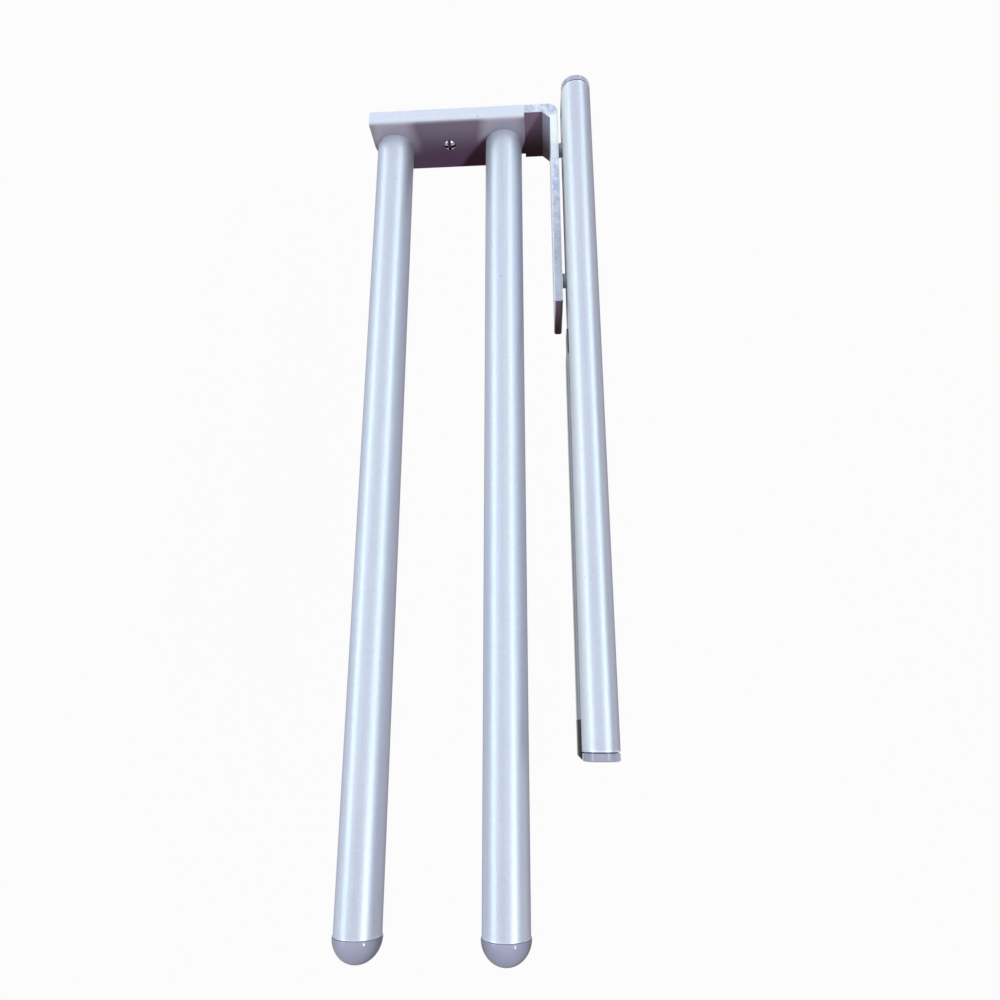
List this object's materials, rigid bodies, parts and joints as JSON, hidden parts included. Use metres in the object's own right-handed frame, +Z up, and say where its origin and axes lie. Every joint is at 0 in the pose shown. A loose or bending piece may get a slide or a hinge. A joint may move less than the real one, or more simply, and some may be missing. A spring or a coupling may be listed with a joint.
{
  "type": "pull-out towel holder",
  "caption": "Pull-out towel holder: round arms with domed ends on a carrier plate, joined by an angle bracket to a ball runner in a slim round-topped housing for a cabinet panel.",
  "frame": {"origin": "middle of the row of panel-screw holes, on the housing's back face, where it meets the panel", "axes": "+X into the panel, so the holder lies at negative X; +Y along the arms towards the carrier, so the holder pulls out towards -Y; +Z up"},
  "size_m": [0.0961, 0.3385, 0.0337],
  "materials": {
    "satin_aluminium": "fine satin, silver anodised",
    "mill_aluminium": "mottled mill finish",
    "arm_cap_plastic": "smooth, slightly glossy",
    "end_cap_plastic": "smooth, half matt",
    "strip_plastic": "matt",
    "black_plastic": "matt",
    "black_rubber": "matt",
    "rail_steel": "zinc plated",
    "bright_steel": "polished",
    "fastener_steel": "zinc plated",
    "white_nylon": "matt"
  },
  "bodies": {
    "rail_housing": {"housing_profile": "satin_aluminium", "front_end_cap": "end_cap_plastic", "rear_end_cap": "end_cap_plastic", "end_cap_screws": "fastener_steel", "outer_rail": "rail_steel", "rail_rivets": "fastener_steel", "rear_buffer": "black_rubber"},
    "ball_cage": {"ball_retainer": "rail_steel", "bearing_balls": "bright_steel"},
    "arm_carriage": {"inner_rail": "rail_steel", "rail_cover_strip": "strip_plastic", "strip_rear_clip": "black_plastic", "rail_front_tip": "black_plastic", "bracket_spacers": "white_nylon", "bracket_nut_plate": "rail_steel", "bracket_screws": "fastener_steel", "l_bracket": "mill_aluminium", "arm_carrier": "satin_aluminium", "carrier_screw": "bright_steel", "arm_screws": "fastener_steel", "left_arm_tube": "satin_aluminium", "right_arm_tube": "satin_aluminium", "left_arm_cap": "arm_cap_plastic", "right_arm_cap": "arm_cap_plastic", "left_arm_insert": "mill_aluminium", "right_arm_insert": "mill_aluminium"}
  },
  "joints": [
    {"name": "arm_slide", "type": "slide", "parent": "rail_housing", "child": "arm_carriage", "axis": [0, -1, 0], "range_m": [0, 0.1824]},
    {"name": "cage_slide", "type": "slide", "parent": "rail_housing", "child": "ball_cage", "axis": [0, -1, 0], "range_m": [0, 0.0912]}
  ],
  "couplings": [
    {"joint": "cage_slide", "follows": "arm_slide", "ratio": 0.5}
  ]
}
